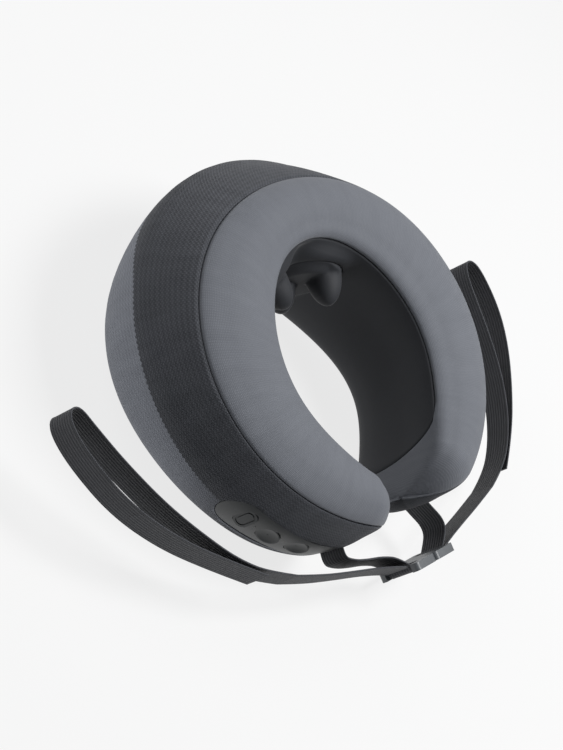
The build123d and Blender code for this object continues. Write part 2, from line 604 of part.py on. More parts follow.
inserts = [extrude(Plane.XY.offset(HOUSING_FLOOR) * make_face(Polyline(*housing_plan, close=True)), housing_height)]
inserts += [motor_pocket, head_windows, openings, pockets["left"], pockets["right"], battery_case]
inserts += [tray_block(0, TRAY_DEPTH), panel_hole & (whole_body(-1) - whole_body(PANEL_THICKNESS + 1))]
names = ("anchor_pin_", "arm_spring_", "heat_pad_")
inserts += [pieces[name + side] for name in names for side in ("left", "right")]
inserts += [pieces["battery_lead"], pieces["panel_lead"]]
foam = filling
for insert in inserts:
    foam = foam - insert


sectors = {"back": (-FOAM_SPLIT, FOAM_SPLIT), "arm_left": (-179, -FOAM_SPLIT), "arm_right": (FOAM_SPLIT, 179)}
for name, (first, last) in sectors.items():
    pieces["foam_" + name] = max((foam & wedge(first, last)).solids(), key=lambda s: s.volume)

base_level = (LEAN * pieces["lower_cover"]).bounding_box().min.Z
STAND = Pos(0, 0, -base_level) * LEAN
for name, piece in pieces.items():
    standing = STAND * piece
    standing.label = name
    export_step(standing, "parts/" + name + ".step")
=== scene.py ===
# Shiatsu neck massager in Blender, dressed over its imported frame. Sizes are metres in the
# row frame; the horseshoe itself is drawn level with its top ring, in millimetres, then
# leaned onto its base with stand().
import json
import math

import bmesh
import bpy
import numpy as np
from mathutils import Matrix, Vector
from mathutils.geometry import convex_hull_2d


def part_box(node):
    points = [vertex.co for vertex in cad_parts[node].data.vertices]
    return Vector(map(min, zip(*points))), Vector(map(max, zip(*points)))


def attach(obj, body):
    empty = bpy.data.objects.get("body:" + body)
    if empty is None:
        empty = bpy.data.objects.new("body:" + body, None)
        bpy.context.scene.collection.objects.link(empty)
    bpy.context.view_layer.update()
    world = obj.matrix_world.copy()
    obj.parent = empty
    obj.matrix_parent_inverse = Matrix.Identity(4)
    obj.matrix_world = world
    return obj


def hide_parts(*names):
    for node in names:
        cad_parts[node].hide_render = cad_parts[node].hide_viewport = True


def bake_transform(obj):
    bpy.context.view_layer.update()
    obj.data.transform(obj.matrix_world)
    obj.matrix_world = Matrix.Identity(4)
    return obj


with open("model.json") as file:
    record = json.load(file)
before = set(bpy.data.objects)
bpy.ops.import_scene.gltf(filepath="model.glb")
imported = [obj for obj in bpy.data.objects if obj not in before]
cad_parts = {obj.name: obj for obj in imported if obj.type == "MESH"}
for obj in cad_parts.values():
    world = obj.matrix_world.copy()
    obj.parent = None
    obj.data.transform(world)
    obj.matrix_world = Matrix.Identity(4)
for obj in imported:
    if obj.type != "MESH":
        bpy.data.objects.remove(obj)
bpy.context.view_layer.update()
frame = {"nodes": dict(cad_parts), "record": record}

# ---- Where the massager stands -------------------------------------------------------
# The horseshoe is drawn with its top ring level, then leaned back so that the back of its
# base and both arm ends stand on the table; the strap pin at the left arm gives the height.
LEAN = math.radians(9)
STRAP_LEVEL = -45
pin_low, pin_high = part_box("anchor_pin_left")
pin = (pin_low + pin_high) / 2 * 1000
pin_reach = (pin.y + STRAP_LEVEL * math.sin(LEAN)) / math.cos(LEAN)
BASE = pin_reach * math.sin(LEAN) + STRAP_LEVEL * math.cos(LEAN) - pin.z


def turn(v):
    """A direction drawn level with the ring, in the row frame."""
    x, y, z = v
    sine, cosine = math.sin(LEAN), math.cos(LEAN)
    return Vector((x, y * cosine - z * sine, y * sine + z * cosine))


def eased(share):
    """A share from 0 to 1, held to that range, starting and ending gently."""
    share = min(max(share, 0), 1)
    return share * share * (3 - 2 * share)


def stand(v):
    """A place drawn level with the ring in millimetres, in the row frame in metres."""
    return (turn(v) - Vector((0, 0, BASE))) / 1000


# ---- Camera, floor and studio light --------------------------------------------------
# A long lens above the open side, rolled well over, so the horseshoe stands on its arm
# ends in the frame. The pale table and large soft lights belong to the studio.
VIEW_AZIMUTH, VIEW_HEIGHT, VIEW_ROLL = (math.radians(a) for a in (-87.53, 40.43, 64.48))
VIEW_DISTANCE = 1200
VIEW_RIGHT_OFFSET, VIEW_UP_OFFSET = -53.6, -1.6
FOCAL_LENGTH = 90.34
level_right = Vector((math.cos(VIEW_AZIMUTH), math.sin(VIEW_AZIMUTH), 0))
view_back = Vector((
    math.sin(VIEW_AZIMUTH) * math.cos(VIEW_HEIGHT),
    -math.cos(VIEW_AZIMUTH) * math.cos(VIEW_HEIGHT),
    math.sin(VIEW_HEIGHT),
))
level_up = view_back.cross(level_right)
view_right = math.cos(VIEW_ROLL) * level_right + math.sin(VIEW_ROLL) * level_up
view_up = math.cos(VIEW_ROLL) * level_up - math.sin(VIEW_ROLL) * level_right


def from_camera(right, up, back):
    """A place given along the camera's own directions in millimetres, in the row frame."""
    return stand(right * view_right + up * view_up + back * view_back)


camera_data = bpy.data.cameras.new("camera")
camera_data.lens = FOCAL_LENGTH
camera_data.sensor_width = 36
camera_data.clip_end = 20
camera = bpy.data.objects.new("camera", camera_data)
bpy.context.scene.collection.objects.link(camera)
axes = Matrix((turn(view_right), turn(view_up), turn(view_back))).transposed().to_4x4()
eye = from_camera(VIEW_RIGHT_OFFSET, VIEW_UP_OFFSET, VIEW_DISTANCE)
camera.matrix_world = Matrix.Translation(eye) @ axes
bpy.context.scene.camera = camera


def new_mesh(name, verts, faces):
    """A shown mesh object from points in the row frame."""
    mesh = bpy.data.meshes.new(name)
    mesh.from_pydata([tuple(v) for v in verts], [], faces)
    mesh.update()
    obj = bpy.data.objects.new(name, mesh)
    bpy.context.scene.collection.objects.link(obj)
    return obj


def new_material(name, colour, roughness=0.6):
    """A node material, with its nodes, its links and its shader."""
    material = bpy.data.materials.new(name)
    material.use_nodes = True
    nodes, links = material.node_tree.nodes, material.node_tree.links
    shader = nodes["Principled BSDF"]
    shader.inputs["Base Color"].default_value = (*colour, 1)
    shader.inputs["Roughness"].default_value = roughness
    return material, nodes, links, shader


FLOOR_HALF, FLOOR_DROP = 6, 0.0005
floor = new_mesh("floor", [
    (-FLOOR_HALF, -FLOOR_HALF, 0), (FLOOR_HALF, -FLOOR_HALF, 0),
    (FLOOR_HALF, FLOOR_HALF, 0), (-FLOOR_HALF, FLOOR_HALF, 0),
], [(0, 1, 2, 3)])
floor.location.z = -FLOOR_DROP
floor_material, nodes, links, shader = new_material("table", (0.12, 0.12, 0.12), 0.9)
shader.inputs["Specular IOR Level"].default_value = 0
shader.inputs["Emission Color"].default_value = (1, 1, 1, 1)
shader.inputs["Emission Strength"].default_value = 0.78
floor.data.materials.append(floor_material)

world = bpy.data.worlds.new("studio")
bpy.context.scene.world = world
world.use_nodes = True
world.node_tree.nodes["Background"].inputs["Color"].default_value = (0.93, 0.96, 1, 1)
world.node_tree.nodes["Background"].inputs["Strength"].default_value = 0.14
bpy.context.scene.view_settings.view_transform = "Standard"


def soft_light(name, right, up, back, size, watts, tint=(1, 1, 1)):
    """A square studio light placed from the camera's side, turned to the massager."""
    data = bpy.data.lights.new(name, "AREA")
    data.energy, data.size, data.color = watts, size, tint
    lamp = bpy.data.objects.new(name, data)
    bpy.context.scene.collection.objects.link(lamp)
    lamp.location = from_camera(right, up, back)
    aim = from_camera(0, 0, 0) - lamp.location
    lamp.rotation_mode = "QUATERNION"
    lamp.rotation_quaternion = aim.to_track_quat("-Z", "Y")


soft_light("key_light", 1100, 450, 400, 0.6, 23)
soft_light("top_light", -300, 1000, 600, 0.8, 5)
soft_light("left_edge_light", -1100, -100, 150, 0.6, 8.5, (0.92, 0.96, 1))
soft_light("low_fill_light", 200, -900, 800, 0.9, 1.5)

# ---- Padded horseshoe: its shape -----------------------------------------------------
# A moulded foam horseshoe, wide and deep at the back, slimmer and lower towards its two
# rounded arm ends. Every cover below is drawn on this one skin.
SKIN_DEGREES = (0, 60, 90, 120, 150)
OUTER_SEAM = (135, 141, 132, 116, 104.5)
INNER_SEAM = (92, 78, 70, 65, 70)
DEPTH = (104, 102, 88, 83, 82)
BULGE = (26, 12, 8, 7, 4)
ARM_END, ARM_ROUNDING = 164, 17
RING_CROWN = 10.5
OUTER_PLACE, PLACES = 4, 13  # s at the outer seam, and in a whole turn


def through(knots):
    """The even cosine series through a size's five values, over the angle in degrees."""
    basis = [[math.cos(math.radians(k * a)) for k in range(len(knots))] for a in SKIN_DEGREES]
    terms = np.linalg.solve(np.array(basis), np.array(knots, dtype=float))
    return lambda a: float(sum(t * math.cos(math.radians(k * a)) for k, t in enumerate(terms)))


outer_seam, inner_seam, depth, bulge = (through(k) for k in (OUTER_SEAM, INNER_SEAM, DEPTH, BULGE))


def section(angle):
    """Thirteen places round the padded section at one angle, as (radius, height)."""
    inner, outer, low, swell = inner_seam(angle), outer_seam(angle), depth(angle), bulge(angle)
    width = outer - inner
    middle = inner + width / 2
    part = min(max((abs(angle) - ARM_END + ARM_ROUNDING) / ARM_ROUNDING, 0), 1)
    scale = math.sqrt(max(1 - part * part, 0))
    points = [
        (inner, 0), (inner + 0.25 * width, 0.78 * RING_CROWN), (middle, RING_CROWN),
        (outer - 0.25 * width, 0.78 * RING_CROWN), (outer, 0),
        (outer + 0.75 * swell, -0.22 * low), (outer + swell, -0.42 * low),
        (outer + 0.5 * swell - 0.05 * width, -0.78 * low), (outer - 0.22 * width, -0.95 * low),
        (middle, -low), (inner + 0.16 * width, -0.93 * low), (inner + 0.02 * width, -0.72 * low),
        (inner, -0.36 * low),
    ]
    hub = np.array((middle, -0.42 * low))
    return hub + scale * (np.array(points) - hub)


def on_loop(points, s):
    """A smooth closed curve through the places, at s counted in places."""
    n = len(points)
    i = int(math.floor(s)) % n
    t = s - math.floor(s)
    a, b, c, d = (points[(i + k) % n] for k in (-1, 0, 1, 2))
    return 0.5 * (2 * b + (c - a) * t + (2 * a - 5 * b + 4 * c - d) * t**2 + (3 * b - a - 3 * c + d) * t**3)


FULL_MIDDLE, FULL_WIDTH, FULL_SHARE = 6.45, 2.8, 0.165


def fullness(angle, s):
    """How far the foam rounds out between two places of the outer wall, most at the back."""
    if abs(s - FULL_MIDDLE) > FULL_WIDTH / 2:
        return 0
    return FULL_SHARE * bulge(angle) * math.cos(math.pi * (s - FULL_MIDDLE) / FULL_WIDTH) ** 2


section_cache = {}


def skin(angle, s, proud=0.0):
    """A place on the padded skin; s runs 0 at the inner seam, 4 at the outer seam, 9 below."""
    if angle not in section_cache:
        section_cache[angle] = section(angle)
    points = section_cache[angle]
    r, z = on_loop(points, s)
    proud = proud + fullness(angle, s)
    if proud:
        ahead, behind = on_loop(points, s + 0.05), on_loop(points, s - 0.05)
        along = (ahead - behind) / max(np.linalg.norm(ahead - behind), 1e-6)
        r, z = r - along[1] * proud, z + along[0] * proud
    a = math.radians(angle)
    return Vector((r * math.sin(a), r * math.cos(a), z))


def weave_map(obj, coords):
    """Keeps each point's place on the cloth, along and across it in metres, for the weave."""
    attribute = obj.data.attributes.new("weave", "FLOAT_VECTOR", "POINT")
    attribute.data.foreach_set("vector", np.array(coords, dtype=np.float32).ravel())


# The weave keeps one even scale over the whole skin, taken from one middling section.
WEAVE_ANGLE, WEAVE_RADIUS, WEAVE_STEP = 70, 0.105, 0.5
weave_section = section(WEAVE_ANGLE)
WEAVE_S = np.arange(-5, 12 + WEAVE_STEP / 2, WEAVE_STEP)
weave_marks = [on_loop(weave_section, s) for s in WEAVE_S]
WEAVE_LENGTHS = np.cumsum(
    [0] + [float(np.linalg.norm(b - a)) for a, b in zip(weave_marks, weave_marks[1:])]
)


def on_weave(angle, s):
    """Where a place lies along and across its cloth, in metres, and how near the tip."""
    across = float(np.interp(s, WEAVE_S, WEAVE_LENGTHS)) / 1000
    return math.radians(angle) * WEAVE_RADIUS, across, abs(angle) / 100


def cloth_grid(name, columns):
    """A cloth from columns of (angle, s, proud) places, each from its first row to its last."""
    count = len(columns[0])
    verts = [stand(skin(*place)) for column in columns for place in column]
    faces = [
        (k, k + count, k + count + 1, k + 1)
        for c in range(len(columns) - 1) for k in range(c * count, c * count + count - 1)
    ]
    obj = new_mesh(name, verts, faces)
    weave_map(obj, [on_weave(angle, s) for column in columns for angle, s, _ in column])
    return obj


SAME_PLACE, NO_LENGTH = 2e-5, 1e-6


def merged(obj):
    """Closes a cloth where its edges meet."""
    work = bmesh.new()
    work.from_mesh(obj.data)
    bmesh.ops.remove_doubles(work, verts=work.verts, dist=SAME_PLACE)
    bmesh.ops.dissolve_degenerate(work, edges=work.edges, dist=NO_LENGTH)
    work.to_mesh(obj.data)
    work.free()
    return obj


def applied(obj):
    """Fixes the object's modifiers into its mesh."""
    depsgraph = bpy.context.evaluated_depsgraph_get()
    mesh = bpy.data.meshes.new_from_object(obj.evaluated_get(depsgraph))
    obj.modifiers.clear()
    obj.data = mesh
    return obj


def made_up(obj, thickness, cutters=(), sharp=50):
    """Gives a cloth its thickness inwards, cuts its openings and smooths it."""
    thick = obj.modifiers.new("thickness", "SOLIDIFY")
    thick.thickness, thick.offset = thickness, -1
    for cutter in cutters:
        cut = obj.modifiers.new("cut", "BOOLEAN")
        cut.operation, cut.solver, cut.object = "DIFFERENCE", "EXACT", cutter
    applied(obj)
    obj.data.polygons.foreach_set("use_smooth", [True] * len(obj.data.polygons))
    obj.data.set_sharp_from_angle(angle=math.radians(sharp))
    return obj


def prism(name, outline, plane, low, high):
    """A cutting block: a closed outline on a plane (origin, x, y, z), between two heights."""
    origin, x, y, z = plane
    rings = [[stand(origin + x * px + y * py + z * h) for px, py in outline] for h in (low, high)]
    n = len(outline)
    faces = [tuple(range(n - 1, -1, -1)), tuple(range(n, 2 * n))]
    faces += [(i, (i + 1) % n, n + (i + 1) % n, n + i) for i in range(n)]
    return new_mesh(name, rings[0] + rings[1], faces)


def roll(distance):
    """How far a cloth's edge is turned in, at a distance in millimetres from its seam."""
    return -SEAM_TURN * max(1 - distance / SEAM_ROLL, 0) ** 2


def spaced(first, last, step, edge_first=True, edge_last=True):
    """Places from first to last in mm, closer together at a turned-in edge."""
    length = last - first
    inner = list(np.linspace(0, length, max(int(round(length / step)), 2) + 1))
    extra = [0.25 * SEAM_ROLL, 0.5 * SEAM_ROLL, 0.8 * SEAM_ROLL]
    places = set(inner)
    places |= set(extra) if edge_first else set()
    places |= {length - e for e in extra} if edge_last else set()
    return [first + p for p in sorted(places)]


# ---- Top ring: light knit over the crown, wrapped round both arm ends ------------------
# A fine grey knit glued to the foam, from the outer seam over the crown to the inner seam.
# At each arm end it turns down inside, so the dark neck liner stops short with a round end.
SEAM_TURN, SEAM_ROLL = 1.7, 1.3
LINER_CORNER, LINER_END = 126, 152
CLOTH = 0.0022
CROWN_PLACE, INSIDE_PLACE, ARM_DEGREE = 12, 25, 1.25  # mm to one step of s or one degree
LINER_BOTTOM = -3


def liner_end(s):
    """The angle at which the liner stops, from the inner seam down to the liner's bottom."""
    upper = min(max(1 + s / 1.9, 0), 1)
    lower = min(max((-s - 1.6) / 1.4, 0), 1)
    upper_corner = (LINER_END - LINER_CORNER) * (1 - math.sqrt(1 - upper**2))
    return LINER_END - upper_corner - 9 * (1 - math.sqrt(1 - lower**2))


def inside_turn(angle):
    """How far below the inner seam the light knit reaches, further at the very arm end."""
    return LINER_BOTTOM - 1.3 * eased((abs(angle) - 144) / 9)


def tip_bend(count):
    """Shares of the way to an arm's tip, closing up towards it."""
    return [math.sin(math.radians(90 * t)) for t in np.linspace(0, 1, count)]


CROWN_S = [p / CROWN_PLACE for p in spaced(0, OUTER_PLACE * CROWN_PLACE, 1.9)]
inside_steps = spaced(0, -LINER_BOTTOM * INSIDE_PLACE, 2.5, edge_first=False)
INSIDE_S = [-p / INSIDE_PLACE for p in reversed(inside_steps)][:-1]


def crown_column(angle, inner_seam_share):
    """A column over the crown, its outer edge turned in and its inner edge by a share."""
    return [
        (angle, s, roll(s * CROWN_PLACE) * inner_seam_share + roll((OUTER_PLACE - s) * CROWN_PLACE))
        for s in CROWN_S
    ]


def inside_column(side, bend):
    """A column inside an arm's end, from the foam's underside up to the inner seam."""
    column = []
    for s in INSIDE_S:
        first = liner_end(s)
        angle = first + (ARM_END - first) * bend
        reach = s if s > -2 else -2 + (s + 2) * (-2 - inside_turn(angle))
        proud = roll((angle - first) * ARM_DEGREE) + roll((s - LINER_BOTTOM) * INSIDE_PLACE)
        column.append((side * angle, reach, proud))
    return column


crown = cloth_grid("crown_knit", [
    crown_column(a, min(max((LINER_CORNER - abs(a)) / 3, 0), 1))
    for a in np.linspace(-LINER_CORNER, LINER_CORNER, 279)
])
parts = [crown]
for side in (-1, 1):
    columns = [
        inside_column(side, bend)
        + crown_column(side * (LINER_CORNER + (ARM_END - LINER_CORNER) * bend), 0)
        for bend in tip_bend(44)
    ]
    parts.append(cloth_grid("crown_end", columns[::side]))
bpy.ops.object.select_all(action="DESELECT")
for obj in parts:
    obj.select_set(True)
bpy.context.view_layer.objects.active = crown
bpy.ops.object.join()
merged(crown)
made_up(crown, CLOTH)
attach(crown, "body")
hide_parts("ring_cover")


def on_cloth(nodes, links, stretch=(1, 1, 1)):
    """The weave's own coordinates along and across a cloth."""
    place = nodes.new("ShaderNodeAttribute")
    place.attribute_name = "weave"
    scale = nodes.new("ShaderNodeMapping")
    scale.inputs["Scale"].default_value = stretch
    links.new(place.outputs["Vector"], scale.inputs["Vector"])
    return scale.outputs["Vector"]


def bands(nodes, links, place, pitch, direction, distortion=0.0):
    """Threads or ribs a pitch apart, in metres, as a height from 0 to 1."""
    wave = nodes.new("ShaderNodeTexWave")
    wave.bands_direction = direction
    factor = 10 if direction == "DIAGONAL" else 20
    wave.inputs["Scale"].default_value = 2 * math.pi / (factor * pitch)
    wave.inputs["Distortion"].default_value = distortion
    wave.inputs["Detail"].default_value = 1
    links.new(place, wave.inputs["Vector"])
    return wave.outputs["Fac"]


def speckle(nodes, links, place, size, detail=2.0):
    """Cloudy variation about a size apart, in metres."""
    noise = nodes.new("ShaderNodeTexNoise")
    noise.inputs["Scale"].default_value = 1 / size
    noise.inputs["Detail"].default_value = detail
    if place is not None:
        links.new(place, noise.inputs["Vector"])
    return noise.outputs["Fac"]


def combine(nodes, links, operation, a, b):
    """Two node values, added or multiplied."""
    node = nodes.new("ShaderNodeMath")
    node.operation = operation
    for socket, value in zip(node.inputs, (a, b)):
        if isinstance(value, (int, float)):
            socket.default_value = value
        else:
            links.new(value, socket)
    return node.outputs[0]


def shade(nodes, links, factor, dark, light):
    """A colour between two, by a node value."""
    mix = nodes.new("ShaderNodeMix")
    mix.data_type = "RGBA"
    links.new(factor, mix.inputs["Factor"])
    for socket, value in ((mix.inputs["A"], dark), (mix.inputs["B"], light)):
        if isinstance(value, tuple):
            socket.default_value = (*value, 1)
        else:
            links.new(value, socket)
    return mix.outputs["Result"]


def relief(nodes, links, shader, height, distance, strength=1.0):
    """Surface relief from a node value, its depth in metres."""
    bump = nodes.new("ShaderNodeBump")
    bump.inputs["Distance"].default_value = distance
    bump.inputs["Strength"].default_value = strength
    links.new(height, bump.inputs["Height"])
    links.new(bump.outputs["Normal"], shader.inputs["Normal"])


crown_cloth, nodes, links, shader = new_material("ring_knit", (0.17, 0.18, 0.2), 0.78)
shader.inputs["Sheen Weight"].default_value = 0.12
shader.inputs["Sheen Roughness"].default_value = 0.5
shader.inputs["Specular IOR Level"].default_value = 0.3
place = on_cloth(nodes, links)
courses = bands(nodes, links, place, 0.0011, "Y", 0.6)
wales = bands(nodes, links, place, 0.0013, "X", 0.6)
stitch = combine(nodes, links, "MULTIPLY", courses, wales)
grain = speckle(nodes, links, place, 0.0012)
cloudy = speckle(nodes, links, place, 0.03)
height = combine(nodes, links, "ADD", stitch, grain)
tone = combine(nodes, links, "MULTIPLY", combine(nodes, links, "ADD", height, cloudy), 0.42)
links.new(shade(nodes, links, tone, (0.08, 0.086, 0.1), (0.135, 0.143, 0.162)), shader.inputs["Base Color"])
relief(nodes, links, shader, height, 0.00012, 0.8)
crown.data.materials.append(crown_cloth)

# ---- Outer wall: dark spacer knit above, grey below -----------------------------------
# One knitted wall in two yarns: a dark band under the ring and a grey lower part, meeting
# in a toothed line of stitches. Both are cut out for the control panel, the right arm's strap
# port and the socket.
TOOTH_PITCH, TOOTH_HEIGHT, TEETH_END = 3.2, 1.3, 118
WALL_PLACE, BACK_DEGREE = 23, 2.35  # mm to one step of s, and to one degree at the back
YARN_LEVEL, YARN_DROP = -42.5, 9.5
WALL_CORNER = 132


def yarn_change(angle):
    """The s value where the dark yarn gives way to the grey, lower at the back."""
    level = YARN_LEVEL - YARN_DROP * eased((52 - abs(angle)) / 26)
    points = section(min(abs(angle), 140))
    low, high = 4.2, 8.5
    for _ in range(18):
        middle = (low + high) / 2
        if on_loop(points, middle)[1] > level:
            low = middle
        else:
            high = middle
    return (low + high) / 2


def tooth(angle):
    """The toothed line's step up or down in s at one angle."""
    phase = (angle * BACK_DEGREE / TOOTH_PITCH) % 1
    return TOOTH_HEIGHT / WALL_PLACE * (abs(2 * phase - 1) - 0.5) * (abs(angle) < TEETH_END)


tip_angles = [WALL_CORNER + (ARM_END - WALL_CORNER) * bend for bend in tip_bend(60)][1:]
wall_angles = [-a for a in reversed(tip_angles)]
wall_angles += list(np.linspace(-WALL_CORNER, WALL_CORNER, 780)) + tip_angles
BAND_ROWS = [p / WALL_PLACE for p in spaced(0, 2 * WALL_PLACE, 3.4, True, False)]
LOWER_ROWS = [p / 100 for p in spaced(0, 100, 4.2, False, True)]
LOWER_LENGTH = 110
band_columns, lower_columns = [], []
for angle in wall_angles:
    change = yarn_change(round(abs(angle), 1)) + tooth(angle)
    bottom = PLACES + inside_turn(angle)
    band_columns.append([
        (angle, OUTER_PLACE + p / BAND_ROWS[-1] * (change - OUTER_PLACE), roll(p * WALL_PLACE))
        for p in BAND_ROWS
    ])
    lower_columns.append([
        (angle, change + p * (bottom - change), roll((1 - p) * LOWER_LENGTH)) for p in LOWER_ROWS
    ])
band = merged(cloth_grid("band_knit", band_columns))
lower = merged(cloth_grid("lower_knit", lower_columns))


def polar(radius, angle, z):
    """A place from its radius, its angle from the back (towards +X) and its height."""
    a = math.radians(angle)
    return Vector((radius * math.sin(a), radius * math.cos(a), z))


def wall_plane(angle, level, reach):
    """A plane on an arm's wall facing outwards, its x along the arm and its y upright."""
    outward = polar(1, angle, 0)
    upright = Vector((0, 0, 1))
    return polar(reach, angle, level), upright.cross(outward), upright, outward


PANEL_ANGLE, PANEL_LENGTH, ARC_STEP = -128, 96, 5
PANEL_ROUND = (16.5, -42)
PANEL_TIP = (13.5, -45)
PANEL_GAP = 0.5


def obround(length, width, grow):
    """The outline of a slot, its long side along x."""
    r, half = width / 2 + grow, (length - width) / 2
    arc = [math.radians(a) for a in range(-90, 91, 10)]
    return [(half + r * math.cos(a), r * math.sin(a)) for a in arc] + [
        (-half - r * math.cos(a), -r * math.sin(a)) for a in arc
    ]


def teardrop(grow):
    """The control panel's outline, round at one end and narrower at the arm's tip."""
    (large, large_level), (small, small_level) = PANEL_ROUND, PANEL_TIP
    ends = ((-PANEL_LENGTH / 2 + large, large_level, large), (PANEL_LENGTH / 2 - small, small_level, small))
    dots = [
        (x + (r + grow) * math.cos(math.radians(a)), y + (r + grow) * math.sin(math.radians(a)))
        for x, y, r in ends for a in range(0, 360, ARC_STEP)
    ]
    return [dots[i] for i in convex_hull_2d(dots)]


panel_cutter = prism(
    "panel_cutter", teardrop(PANEL_GAP),
    wall_plane(PANEL_ANGLE, 0, outer_seam(PANEL_ANGLE) + bulge(PANEL_ANGLE)), low=-26, high=14,
)
PORT_ANGLE, PORT_LENGTH, PORT_HEIGHT = 152.5, 32, 11
strap_cutter = prism(
    "strap_cutter", [(-y, x) for x, y in obround(PORT_LENGTH, PORT_HEIGHT, PANEL_GAP)],
    wall_plane(PORT_ANGLE, STRAP_LEVEL, outer_seam(PORT_ANGLE) + bulge(PORT_ANGLE)), low=-8, high=10,
)
SOCKET_ANGLE, SOCKET_LENGTH, SOCKET_WIDTH = -125, 16.2, 10.4
socket_reach = (inner_seam(SOCKET_ANGLE) + outer_seam(SOCKET_ANGLE)) / 2
socket_middle = polar(socket_reach, SOCKET_ANGLE, -depth(SOCKET_ANGLE))
_, socket_x, _, socket_out = wall_plane(SOCKET_ANGLE, 0, 0)
socket_cutter = prism(
    "socket_cutter", obround(SOCKET_LENGTH, SOCKET_WIDTH, PANEL_GAP),
    (socket_middle, socket_x, socket_out, Vector((0, 0, 1))), low=-12, high=9,
)
cutters = (panel_cutter, strap_cutter, socket_cutter)
for cloth, node, slot in ((band, "side_band", "band_knit"), (lower, "lower_cover", "panel_knit")):
    made_up(cloth, CLOTH, cutters)
    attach(cloth, "body")
    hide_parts(node)
for cutter in cutters:
    bpy.data.objects.remove(cutter)


def spacer_knit(name, dark, light, tips=None):
    """A spacer knit: fine ribs crossed by slanting stitches, and a darker colour towards the arm tips."""
    cloth, nodes, links, shader = new_material(name, dark, 0.8)
    shader.inputs["Sheen Weight"].default_value = 0.06
    shader.inputs["Sheen Roughness"].default_value = 0.5
    shader.inputs["Specular IOR Level"].default_value = 0.25
    place = on_cloth(nodes, links)
    ribs = bands(nodes, links, place, 0.0032, "Y", 0.5)
    slant = bands(nodes, links, on_cloth(nodes, links, (1, 1, 0)), 0.0021, "DIAGONAL", 0.3)
    counter = bands(nodes, links, on_cloth(nodes, links, (-1, 1, 0)), 0.0021, "DIAGONAL", 0.3)
    lattice = combine(nodes, links, "MULTIPLY", slant, counter)
    height = combine(nodes, links, "ADD", combine(nodes, links, "MULTIPLY", ribs, 0.45), lattice)
    cloudy = speckle(nodes, links, place, 0.025)
    tone = combine(nodes, links, "MULTIPLY", combine(nodes, links, "ADD", height, cloudy), 0.5)
    colour = shade(nodes, links, tone, dark, light)
    if tips:
        start, end, tip_colour = tips
        towards_tip = nodes.new("ShaderNodeSeparateXYZ")
        links.new(place, towards_tip.inputs["Vector"])
        ramp = nodes.new("ShaderNodeMapRange")
        ramp.inputs["From Min"].default_value, ramp.inputs["From Max"].default_value = start, end
        ramp.interpolation_type = "SMOOTHSTEP"
        links.new(towards_tip.outputs["Z"], ramp.inputs["Value"])
        colour = shade(nodes, links, ramp.outputs["Result"], colour, tip_colour)
    links.new(colour, shader.inputs["Base Color"])
    relief(nodes, links, shader, height, 0.0003, 0.8)
    return cloth


band.data.materials.append(spacer_knit("band_knit", (0.026, 0.028, 0.033), (0.076, 0.08, 0.092)))
DARKER_TIPS = (0.88, 1.2, (0.035, 0.037, 0.044))
lower.data.materials.append(
    spacer_knit("lower_knit", (0.122, 0.13, 0.152), (0.225, 0.238, 0.27), DARKER_TIPS)
)

# ---- Neck liner: dark stretch fabric over the inside of the horseshoe ------------------
# A smooth two-way stretch fabric. It is drawn in round each massage head, where a round
# window leaves the turning head its own fabric cap, flush with the liner.
HEAD_TILT, HEAD_LEVEL, HEAD_REACH = 20, -40, 82
WINDOW_RADIUS, DRAWN_RADIUS = 29.2, 47
PROUD_OF_HEAD, DRAWN_DEPTH, SEAM_EASE = 1.2, 25, 9
LINER_CLOTH = 0.0018


def head_plane(side):
    """The middle of a head's face, with directions upright, sideways and into the neck."""
    inward = polar(-1, side * HEAD_TILT, 0)
    upright = Vector((0, 0, 1))
    return polar(HEAD_REACH, side * HEAD_TILT, HEAD_LEVEL), upright, inward.cross(upright), inward


def drawn_in(point):
    """A liner place moved out to the face of any head near it, but not at the seam."""
    shift = Vector((0, 0, 0))
    for side in (-1, 1):
        middle, upright, sideways, inward = head_plane(side)
        offset = point - middle
        depth_behind = -offset.dot(inward)
        radius = math.hypot(offset.dot(upright), offset.dot(sideways))
        blend = eased((DRAWN_RADIUS - radius) / (DRAWN_RADIUS - WINDOW_RADIUS - 1))
        if abs(depth_behind) < DRAWN_DEPTH:
            shift += inward * max(depth_behind + PROUD_OF_HEAD, 0) * blend * eased(-point.z / SEAM_EASE)
    return point + shift


LINER_S = [LINER_BOTTOM + p / INSIDE_PLACE for p in spaced(0, -LINER_BOTTOM * INSIDE_PLACE, 1.8)]
LINER_SHARES = [p / 210 - 1 for p in spaced(0, 420, 1.7)]


def liner_place(share, s):
    """A place of the liner, at a share of the way to its end at that height."""
    end = liner_end(s)
    proud = roll((1 - abs(share)) * end * ARM_DEGREE)
    proud += roll((s - LINER_BOTTOM) * INSIDE_PLACE) + roll(-s * INSIDE_PLACE)
    return end * share, s, proud


liner_columns = [[liner_place(share, s) for s in LINER_S] for share in LINER_SHARES]
liner = cloth_grid("neck_liner_cloth", liner_columns)
for vertex, place in zip(liner.data.vertices, [p for column in liner_columns for p in column]):
    vertex.co = stand(drawn_in(skin(*place)))
merged(liner)
window_cutters = []
for side in (-1, 1):
    middle, upright, sideways, inward = head_plane(side)
    turns = [math.radians(a) for a in range(0, 360, 4)]
    circle = [(WINDOW_RADIUS * math.cos(a), WINDOW_RADIUS * math.sin(a)) for a in turns]
    face = (middle, upright, sideways, inward)
    window_cutters.append(prism("window_cutter", circle, face, low=-22, high=26))
made_up(liner, LINER_CLOTH, window_cutters)
for cutter in window_cutters:
    bpy.data.objects.remove(cutter)
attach(liner, "body")
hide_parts("neck_liner")

